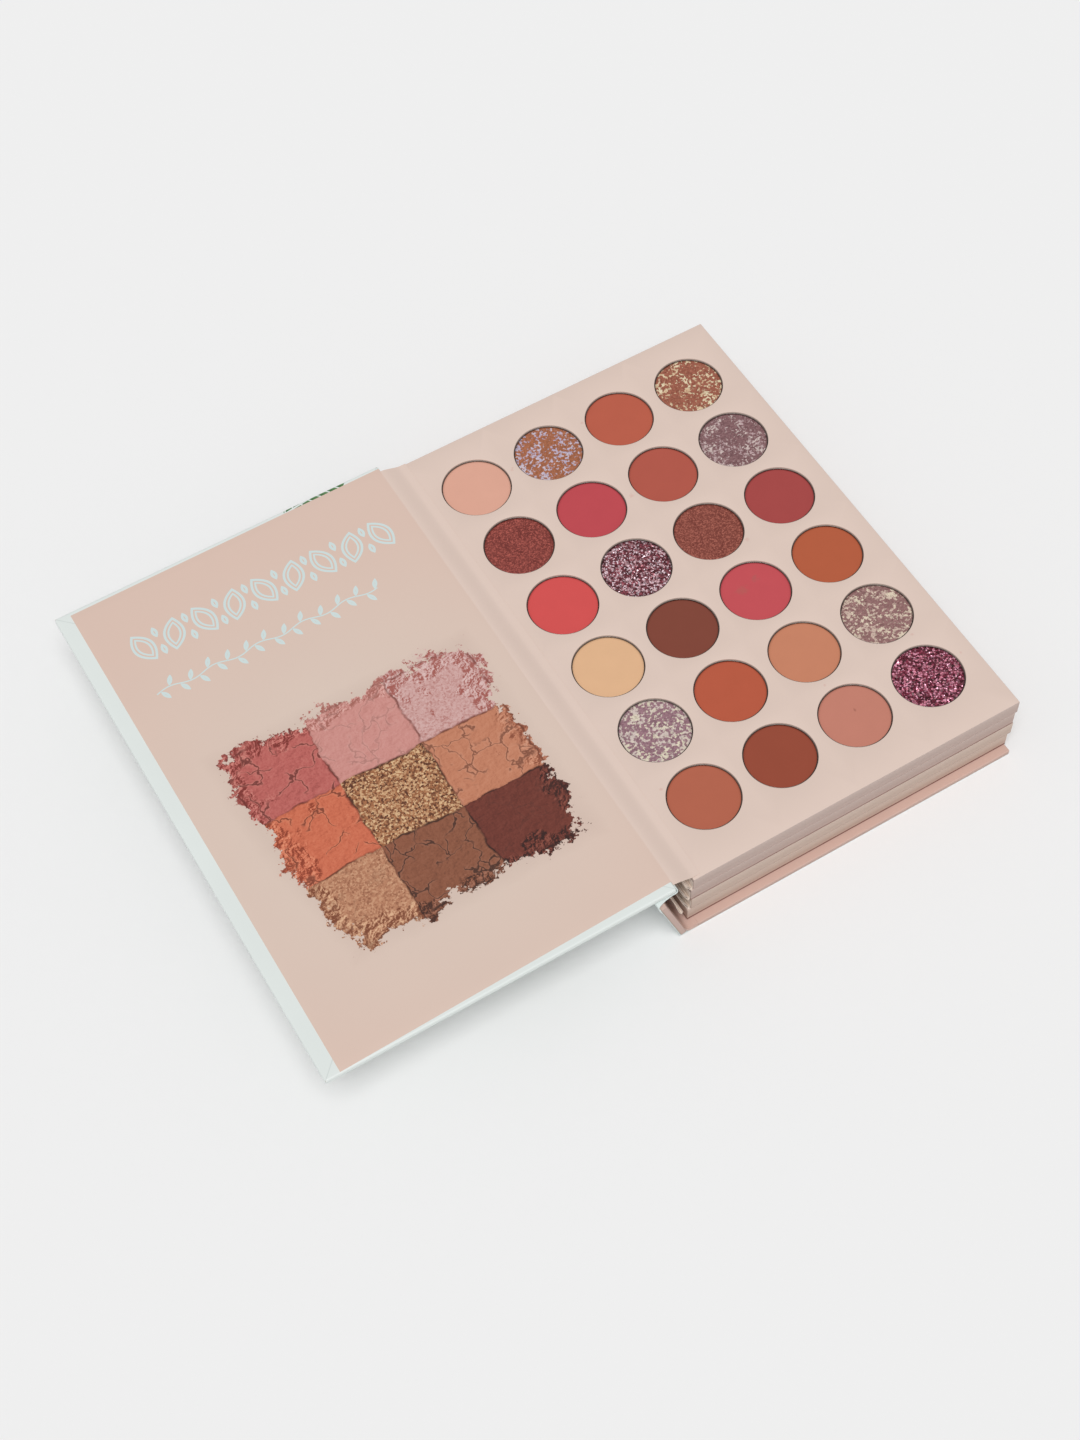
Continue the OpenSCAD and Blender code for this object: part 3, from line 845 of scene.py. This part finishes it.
def lathe_all(profile, turns, dx, dz):
    """The same (r, z) profile turned about every pan's axis: x = X + r cos a, y = Y + r sin a."""
    profile = np.asarray(profile, float)
    a = np.linspace(0, 2 * math.pi, turns, endpoint=False)
    ring = np.stack([profile[:, :1] * np.cos(a), profile[:, :1] * np.sin(a), profile[:, 1:] + 0 * a], -1)
    ring = ring.reshape(-1, 3)
    quads = grid_quads(len(profile), turns, close_v=True)
    centres = np.array([(x + dx, y, dz) for y in PAN_Y for x in PAN_X])
    verts = (ring[None] + centres[:, None]).reshape(-1, 3)
    faces = (quads[None] + (np.arange(24) * len(ring))[:, None, None]).reshape(-1, 4)
    return verts, faces


tops = {}
# top tone and low tone of each page's edge, both darker than the card's face as painted shade, the low one darker
# still as painted shading; and the depth of the painted gap-shadow line along its bottom
EDGE_TONES = {1: ("#c3afa6", "#bca59c", -0.3), 2: ("#bea9a0", "#b99f95", 0.5),
              3: ("#cbb6a8", "#c4ad9f", -0.3), 4: ("#c7b1a3", "#c3a798", 0.85)}
TIN_SIDE, PAN_GAP = 0.3, 0.25  # a tin's wall in the CAD, and the room round it in the card, mm
TIN_WALL, TIN_FOOT = 0.16, 0.5  # the tin's sheet as shown, and the radius of its foot, mm
for p in (1, 2, 3, 4):
    body = page_bodies[p]
    turns = 96 if p == 1 else 64
    card_lo, card_hi = box_mm(f"page_{p}_card")
    core_lo, core_hi = box_mm(f"page_{p}_core")
    base_lo, base_hi = box_mm(f"page_{p}_base")
    tin_lo, tin_hi = box_mm(f"page_{p}_tins")
    dx = float(card_lo[0] - box_mm("page_1_card")[0][0])
    hole = CAKE_R + TIN_SIDE + PAN_GAP
    tops[p] = card_hi[2]
    card_mat = card_paper(f"page_card_pink_{p}", card_lo, card_hi, EDGE_TONES[p][0])
    verts, faces = pierced_mesh(card_lo, card_hi, dx, hole, 0.18, 0.12 if p == 1 else 0.04, turns)
    piece(f"page_{p}_top_card", verts, faces[:, ::-1], card_mat, body, [f"page_{p}_card"], 50)
    edge_mat = page_edge(f"page_edge_paper_{p}", *EDGE_TONES[p], float(base_lo[2]), float(card_hi[2]))
    verts, faces = pierced_mesh(core_lo, core_hi, dx, hole, 0.03, 0.04, 64)
    piece(f"page_{p}_foam_board", verts, faces[:, ::-1], edge_mat, body, [f"page_{p}_core"], 50)
    verts, faces = slab_mesh(base_lo, base_hi, 0.06, (6, 8, 1))
    piece(f"page_{p}_base_board", verts, faces, edge_mat, body, [f"page_{p}_base"], 50)
    height = float(tin_hi[2] - tin_lo[2])
    radius = float(tin_hi[0] - tin_lo[0] - 3 * PITCH) / 2
    lip = TIN_WALL / 2
    rim = [(radius - lip + lip * math.cos(t), height - lip + lip * math.sin(t)) for t in np.linspace(0, math.pi, 7)]
    foot = [(radius - TIN_FOOT + TIN_FOOT * math.sin(t), TIN_FOOT - TIN_FOOT * math.cos(t))
            for t in np.linspace(0, math.pi / 2, 5)]
    profile = [(0.01, 0)] + foot + rim + [(radius - TIN_WALL, TIN_WALL), (0.01, TIN_WALL)]
    verts, faces = lathe_all(profile, 72 if p == 1 else 48, dx, float(tin_lo[2]))
    piece(f"page_{p}_tin_cups", verts, faces[:, ::-1], tin_mat, body, [f"page_{p}_tins"], 40,
          merge=False)
print("page tops, mm:", {p: round(float(z), 2) for p, z in tops.items()})

# %% [markdown]
# The three lower pages carry cakes of the same make. Their shades can't be seen with the book as it lies, so
# they take the top page's tones in another order. One mesh holds a page's 24 cakes, an attribute their colours.

# %% Lower cakes


def mixed_powder():
    """Matt powder coloured by the mesh's own attribute, one tone per cake."""
    mat, tree, shader, at = start("powder_matte_mixed")
    own = put(tree, "Attribute", attribute_name="shade").outputs["Color"]
    grain = noise(tree, at, 0.2, 3, 0.7)
    colour = blend_colour(tree, spread(tree, grain, 0.35, 0.7, 0, 0.15), own, linear("#7c5246"))
    feed(tree, shader, Base_Color=colour, Roughness=0.85, Normal=bump(tree, grain, 0.03, 0.6))
    return mat


mixed = mixed_powder()
tones = [v[1] for v in PAN_KIND.values()]
for p in (2, 3, 4):
    lo, hi = box_mm(f"page_{p}_powders")
    dx = float(box_mm(f"page_{p}_card")[0][0] - box_mm("page_1_card")[0][0])
    high, low = float(hi[2]), float(lo[2]) + 0.02
    rim = [(CAKE_R - inset, high - low - fall) for inset, fall in ((0.5, 0), (0.3, 0.03), (0.1, 0.1), (0.02, 0.18))]
    profile = [(0.01, high - low)] + rim + [(CAKE_R - 0.02, 0), (0.01, 0)]
    verts, faces = lathe_all(profile, 48, dx, low)
    obj = piece(f"page_{p}_cakes", verts, faces, mixed, page_bodies[p], [f"page_{p}_powders"],
                60, merge=False)
    order = np.random.default_rng(p).permutation(24)
    colours = np.repeat(np.array([linear(tones[k]) for k in order]), len(verts) // 24, axis=0)
    layer = obj.data.color_attributes.new("shade", "FLOAT_COLOR", "POINT")
    layer.data.foreach_set("color", colours.astype(np.float32).ravel())
print("lower cakes:", 3 * 24)

# %% [markdown]
# ## The case
# The wrap paper goes round the board's edges and is turned in on the inside; the lining covers its raw ends.
# Wrapped edges are soft, so the covers are boxes with rounded edges and an open window on the inside.

# %% Covers


def shell(name, lo, hi, r, keep, material, body, nodes, cuts=(60, 90, 1), turn=None):
    """The faces of a rounded box that keep() picks, as paper 0.2 mm thick inside the box's surface."""
    verts, faces = slab_mesh(lo, hi, r, cuts, lambda m, axis, side: ~keep(m), 4)
    if turn is not None:
        verts = turn(verts)
    obj = piece(name, verts, faces, material, body, nodes, 60, turn_out=False)
    thick = obj.modifiers.new("paper", "SOLIDIFY")
    thick.thickness, thick.offset = 0.2 * MM, -1.0
    return obj


front_lo, front_hi = box_mm("front_wrap")
line_lo, line_hi = box_mm("front_liner")
front_top = front_hi[2] - 0.08


def around_window(m):
    """Everything but the inner face further than 3 mm inside the lining's outline."""
    inside = ((m[:, :2] > line_lo[:2] + 3) & (m[:, :2] < line_hi[:2] - 3)).all(1)
    return ~(inside & (m[:, 2] > front_top - 0.3))


shell("front_cover_wrap", front_lo, (front_hi[0], front_hi[1], front_top), 0.7, around_window,
      wrap_paper("wrap_paper_mint_front", front_lo, front_hi, float(front_lo[2]) + 0.25),
      "front_cover", ["front_wrap"])

# The lining of the lid was pasted in slightly turned, so its front margin widens towards the hinge.
verts, faces = slab_mesh((line_lo[0], line_lo[1], front_top - 0.02), (line_hi[0], line_hi[1], line_hi[2] - 0.02),
                         0.03, (40, 60, 1))
share = (line_hi[0] - verts[:, 0]) / (line_hi[0] - line_lo[0])
verts[:, 1] += np.clip(verts[:, 1] / line_lo[1], 0, 1) * (1.5 - 2.9 * share)
verts[:, 1] += np.clip(verts[:, 1] / line_hi[1], 0, 1) * (1.5 - 0.3 * share)
piece("front_cover_lining", verts, faces, print_mat, "front_cover", ["front_liner"], 60)

# On the back cover the lining goes over the board's edges, and the wrap shows only as a line at the bottom.
back_lo, back_hi = box_mm("back_wrap")
back_line_lo, back_line_hi = box_mm("back_liner")
back_top = (back_hi[0], back_hi[1], back_line_hi[2] - 0.02)
shell("back_cover_wrap", back_lo, back_top, 0.4, lambda m: m[:, 2] < back_lo[2] + 0.45,
      wrap_paper("wrap_paper_mint_back", back_lo, back_hi, float(back_lo[2]) + 0.25),
      "back_cover", ["back_wrap"])
# painted shade: the back lining is the same pink lining paper as the flap, in a darker tone
back_pink_shaded = paper("lining_paper_back_shaded", "#ccab9e", 0.5, 0.03)
shell("back_cover_lining", back_lo, back_top, 0.4, lambda m: m[:, 2] >= back_lo[2] + 0.45,
      back_pink_shaded, "back_cover", ["back_liner"])
for side in ("front", "back", "spine"):
    board = bpy.data.objects[f"{side}_board"]
    board.data.materials.clear()
    board.data.materials.append(board_mat)
print("front cover, mm:", np.round(front_lo, 2).tolist(), np.round(front_hi, 2).tolist())

# %% [markdown]
# The spine is a narrow board of its own. It leans on its fold, so its pieces are made upright and then turned
# about the fold by the angle at which its joint would be closed.

# %% Spine
joint = {j["name"]: j for j in record["behaviour"]["joints"]}
fold = np.array(joint["spine_hinge"]["pos_m"]) / MM
lean = math.radians(joint["spine_hinge"]["range_deg"][1])
top_of_spine = np.array(joint["front_joint_fold"]["pos_m"]) / MM
spine_up = float(np.linalg.norm((top_of_spine - fold)[[0, 2]]))
spine_lo, spine_hi = box_mm("spine_wrap")
half_case = float(back_hi[2] + 0.05) / 2
along, inward = np.array([-math.sin(lean), math.cos(lean)]), np.array([math.cos(lean), math.sin(lean)])


def on_spine(across, up):
    """The (x, z) point at that distance across the spine, inwards, and up it from its fold."""
    return fold[[0, 2]] + across * inward + up * along


def lean_over(v):
    """Turns points of the upright spine into the row frame: (x, z) = fold + x * inward + z * along."""
    v = v.copy()
    v[:, [0, 2]] = fold[[0, 2]] + v[:, :1] * inward + v[:, 2:] * along
    return v


y_low, y_high = float(spine_lo[1]), float(spine_hi[1])
verts, faces = slab_mesh((-half_case, y_low, -0.6), (-half_case + 0.25, y_high, spine_up), 0.1, (1, 40, 8))
piece("spine_outer_wrap", lean_over(verts), faces, strip_mat, "spine", ["spine_wrap"],
      60)
# painted shade: the spine's lining is the same pink lining paper, in a darker tone
spine_pink_shaded = paper("lining_paper_spine_shaded", "#c4a89d", 0.55, 0.03)
shell("spine_lining_paper", (-half_case + 0.25, y_low, -0.65), (half_case, y_high, spine_up), 0.35,
      lambda m: m[:, 0] > -half_case + 0.45, spine_pink_shaded, "spine", ["spine_liner"],
      (2, 60, 8), lean_over)
print("spine, mm:", round(spine_up, 2), "high, leaning", round(math.degrees(lean), 1), "degrees")

# %% [markdown]
# ## Paper joints
# Book cloth and paper are the hinges of a hard case. At the foot of the spine the lining dips into a groove
# and climbs the spine; under the open lid the wrap folds back on itself; and the lining paper bridges from
# the lid to the first page. Each is a sheet drawn along the hinge line, bent between the bodies it joins.

# %% Joints
LID_UNDER = 28.74  # height of the paper under the open lid's joint, mm
start_x = back_line_lo[0] + 0.05
upper = bezier([(start_x, 2.5), (1.8, 2.5), (0.8, 1.8), (-1.0, 1.1), (-1.5, 1.9),
                on_spine(half_case + 0.14, 2.0), on_spine(half_case + 0.14, 3.4)], 22)
lower = bezier([(start_x, 0.25), (1.8, 0.22), (0.4, 0.2), (-0.9, 0.15), (-1.3, 0.6),
                on_spine(half_case + 0.02, 1.0), on_spine(half_case + 0.02, 3.4)], 22)
verts, faces = strip_mesh(upper, lower, y_low + 0.1, y_high - 0.1, 60, 0.12, 5)
foot = piece("back_joint_lining", verts, faces, back_pink_shaded, None, ["back_joint_strip"], 50)
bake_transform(foot)
path = np.array([(3.2, 0.13), (1.5, 0.13), (0.0, 0.13), (-1.6, 0.13), (-2.8, 0.15), (-3.7, 0.24), (-4.28, 0.55),
                 tuple(on_spine(-half_case - 0.1, 0.3)), tuple(on_spine(-half_case - 0.1, 2.0))])
verts, faces = ribbon_mesh(path, 0.14, y_low, y_high, ny=30)
under = piece("back_joint_wrap", verts, faces, strip_mat, None, (), 50)
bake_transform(under)

edge_x = float(front_hi[0])
path = np.concatenate([[on_spine(-half_case - 0.12, spine_up - 1.8), on_spine(-half_case - 0.13, spine_up - 0.4)],
                       bezier([on_spine(-half_case - 0.14, spine_up + 0.2), on_spine(-half_case - 0.1, spine_up + 1.1),
                               (-11.4, LID_UNDER), (-9.5, LID_UNDER)], 8),
                       [(-8.0, LID_UNDER), (-6.6, LID_UNDER)]])
shift = float(front_lo[1] - y_low)
verts, faces = ribbon_mesh(path, 0.3, y_low, y_high, ny=50, wave=0.08, seed=8, skew=shift)
strip = piece("front_joint_paper", verts, faces, strip_mat, None, ["front_joint_strip"],
              50)
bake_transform(strip)
path = np.concatenate([[(-6.65, LID_UNDER)],
                       bezier([(-5.9, LID_UNDER), (edge_x + 0.1, 28.6), (edge_x + 0.55, 29.0),
                               (edge_x + 0.25, 29.9), (edge_x + 0.2, 31.0)], 14)])
verts, faces = ribbon_mesh(path, 0.3, float(front_lo[1]), float(front_hi[1]), ny=50, wave=0.06, seed=9)
crease = piece("front_joint_crease", verts, faces, strip_mat, None, (), 50)
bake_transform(crease)

page_lo, page_hi = box_mm("page_1_card")
top_z = float(page_hi[2])
flap_lo, flap_hi = box_mm("endpaper_flap")
path = np.concatenate([bezier([(edge_x - 0.25, 31.76), (edge_x + 1.5, 31.74), (-1.2, 31.0), (0.9, 29.8),
                               (2.7, top_z + 0.14)], 16),
                       [(3.6, top_z + 0.12), (4.6, top_z + 0.10), (5.6, top_z + 0.08)]])
verts, faces = ribbon_mesh(path, 0.16, float(flap_lo[1]), float(flap_hi[1]), ny=80, wave=0.10, seed=4)
flap_mat = paper("lining_paper_flap", "#dec8bc", 0.5, 0.015)
flap = piece("hinge_endpaper", verts, faces, flap_mat, "page_1", ["endpaper_flap"], 50)
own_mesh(flap)
print("paper joints:", 5)

# %% [markdown]
# Between the pages, strips of cream paper are folded into a V: one leg is glued up the edge of the page
# above, the other stands free towards the spine. Seen from the front they are thin pale lines with dark gaps behind.

# %% Page hinges
corner_of = {p: box_mm(f"page_{p}_base")[0] for p in (1, 2, 3)}
tips = {1: (-0.5, 26.4), 2: (-1.1, 20.6), 3: (-1.2, 15.0)}  # (x, z) where each free leg ends, mm
for p in (3, 2, 1):
    x, z = float(corner_of[p][0]) - 0.12, float(corner_of[p][2])
    ends = page_lo[1] + 0.3, page_hi[1] - 0.3
    for k, away in enumerate((0.0, 0.55)):
        tip = np.array(tips[p]) + (away, -away)
        path = np.concatenate([[(x - 0.02 - 0.02 * k, z + 4.6), (x - 0.05, z + 2.0)],
                               bezier([(x - 0.07, z + 1.0), (x - 0.1 + 0.3 * k, z - 0.35 + 0.5 * k),
                                       (x - 1.1 + away, z - 0.1 + 0.5 * k), (x - 1.3 + away, z + 1.4)], 8),
                               [((x - 1.3 + away) * 0.5 + tip[0] * 0.5, z * 0.5 + 0.7 + tip[1] * 0.5), tip]])
        verts, faces = ribbon_mesh(path, 0.13, ends[0] + 0.4 * k, ends[1] - 0.3 * k, ny=50, wave=0.18,
                                   seed=20 + p + 5 * k)
        stands_for = [f"page_hinge_{p}"] if k == 0 else ()
        sheet = piece(f"page_hinge_paper_{p}_{k + 1}", verts, faces, hinge_mat, None, stands_for, 50)
        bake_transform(sheet)
# the long leg of the lowest hinge is glued to the spine's lining higher up
path = bezier([(-1.2, 9.8), (-1.5, 7.4), (-2.5, 8.4), (-3.6, 13.5), (-4.6, 18.4)], 14)
verts, faces = ribbon_mesh(path, 0.13, page_lo[1] + 0.2, page_hi[1] - 0.2, ny=50, wave=0.2, seed=31)
leg = piece("page_hinge_long_leg", verts, faces, hinge_mat, None, (), 50)
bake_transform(leg)
backing_mat = paper("backing_paper_beige", "#bda59a", 0.6)
# a backing sheet under pages 1 and 3 closes most of the gap below them
for p in (1, 3):
    lo, hi = box_mm(f"page_{p}_base")
    verts, faces = slab_mesh((lo[0] + 0.6, lo[1] + 0.08, lo[2] - 0.3), (hi[0] - 0.1, hi[1] - 0.08, lo[2] - 0.02),
                             0.05, (6, 8, 1))
    piece(f"page_{p}_backing_paper", verts, faces, backing_mat, page_bodies[p], (), 50)
print("page hinge papers:", 7)

# %% [markdown]
# ## Printed ornament
# Above the cakes the lining carries a mint ornament: a row of tall double-lined leaves and a thin garland
# below it. Ink is drawn as closed bands of film, a few hundredths of a millimetre thick.

# %% Leaf ornament
ink_z = float(line_hi[2]) - 0.02


def leaf_band(cx, cy, length, width, turn, inset, band):
    """A closed band along a pointed leaf: v = W / 2 * (1 - (2 u / L)^2) on both sides of its axis, drawn once
    inset by inset and once by inset + band, and turned."""
    t = np.linspace(-1, 1, 21)
    loops = []
    for cut in (inset, inset + band):
        half = width / 2 - cut
        reach = length / 2 - cut * length / width * 0.75
        u = np.concatenate([t, t[-2:0:-1]]) * reach
        v = half * (1 - (u / reach) ** 2) * np.concatenate([np.ones(21), -np.ones(19)])
        c, s = math.cos(turn), math.sin(turn)
        loops.append(np.stack([cx + u * c - v * s, cy + u * s + v * c], 1))
    return closed_band(*loops)


def line_band(xs, ys, width):
    """A thin line through the points, drawn as a closed band with half its width on each side."""
    p = np.stack([xs, ys], 1)
    step = np.gradient(p, axis=0)
    side = np.stack([-step[:, 1], step[:, 0]], 1) / np.linalg.norm(step, axis=1)[:, None] * width / 2
    centre = np.concatenate([p, p[::-1]])
    return closed_band(np.concatenate([p + side, (p - side)[::-1]]), centre)


def closed_band(outer, inner):
    """A flat ring between two loops of points, 0.015 mm thick."""
    n = len(outer)
    z0, z1 = ink_z - 0.004, ink_z + 0.015
    rings = [np.column_stack([outer, np.full(n, z1)]), np.column_stack([inner, np.full(n, z1)]),
             np.column_stack([inner, np.full(n, z0)]), np.column_stack([outer, np.full(n, z0)])]
    v = np.concatenate(rings)
    f = grid_quads(4, n, close_u=True, close_v=True)
    return v, f


ROW_Y, STEM_Y = 78.1, 57.6  # heights of the row of leaves and of the garland on the lining, mm
bands = []
for k in range(9):
    cx = -115.8 + 12.15 * k
    turn = math.radians(72 if k % 2 else 108)
    bands.append(leaf_band(cx, ROW_Y, 14.6, 8.2, turn, 0.0, 0.95))
    bands.append(leaf_band(cx, ROW_Y, 14.6, 8.2, turn, 1.55, 0.75))
    if k < 8:
        for up in (-1, 1):
            cy = ROW_Y + 4.2 * up * (1 if k % 2 else -1)
            bands.append(leaf_band(cx + 6.1, cy, 5.0, 2.4, math.radians(90), 0.0, 1.0))
xs = np.linspace(-120.5, -31.5, 90)
bands.append(line_band(xs, STEM_Y + 0.9 * np.sin((xs + 120) * 0.35), 0.5))
for k in range(24):
    cx = -118.6 + 3.75 * k
    cy = STEM_Y + 0.9 * math.sin((cx + 120) * 0.35)
    side = 1 if k % 2 else -1
    bands.append(leaf_band(cx + 0.9, cy + 2.3 * side, 4.8, 1.9, math.radians(62 * side), 0.0, 0.9))
verts, faces, count = [], [], 0
for v, f in bands:
    verts.append(v)
    faces.append(f + count)
    count += len(v)
ink_mat = paper("printing_ink_mint", "#cddcdb", 0.4, 0.01)
piece("lining_leaf_print", np.concatenate(verts), np.concatenate(faces), ink_mat, "front_cover", (),
      50, merge=False)
print("ornament bands:", len(bands))

# %% [markdown]
# ## Floor, light and camera

# %% Stage
floor_mat, tree, shader, at = start("floor_paper_white")
feed(tree, shader, Base_Color=linear("#efefef"), Roughness=1.0)
shader.inputs["Specular IOR Level"].default_value = 0.0
floor_mesh = bpy.data.meshes.new("floor")
floor_mesh.from_pydata([(-6, -6, 0), (6, -6, 0), (6, 6, 0), (-6, 6, 0)], [], [(0, 1, 2, 3)])
floor_mesh.materials.append(floor_mat)
floor = bpy.data.objects.new("floor", floor_mesh)
bpy.context.scene.collection.objects.link(floor)

world = bpy.data.worlds.new("studio")
bpy.context.scene.world = world
world.use_nodes = True
world.node_tree.nodes["Background"].inputs[0].default_value = (1, 1, 1, 1)
world.node_tree.nodes["Background"].inputs[1].default_value = 0.42

sun = bpy.data.lights.new("soft_key", "SUN")
sun.energy = 2.0
sun.angle = math.radians(36)
sun_obj = bpy.data.objects.new("soft_key", sun)
sun_obj.rotation_mode = "QUATERNION"
sun_obj.rotation_quaternion = Vector((0.21, 0.40, -1.02)).to_track_quat("-Z", "Y")
bpy.context.scene.collection.objects.link(sun_obj)

camera = bpy.data.cameras.new("camera")
camera.lens, camera.sensor_width = 57.47, 36
camera.clip_start, camera.clip_end = 0.01, 20
cam = bpy.data.objects.new("camera", camera)
bpy.context.scene.collection.objects.link(cam)
forward = np.array([0.2513, 0.4662, -0.8483])
forward /= np.linalg.norm(forward)
right = np.array([0.859772, -0.510039, -0.025541])
right -= forward * (right @ forward)
right /= np.linalg.norm(right)
up = np.cross(right, forward)
pose = np.eye(4)
pose[:3, 0], pose[:3, 1], pose[:3, 2], pose[:3, 3] = right, up, -forward, (-0.2127, -0.3989, 0.7161)
cam.matrix_world = Matrix(pose.tolist())
bpy.context.scene.camera = cam
bpy.context.scene.view_settings.view_transform = "Standard"
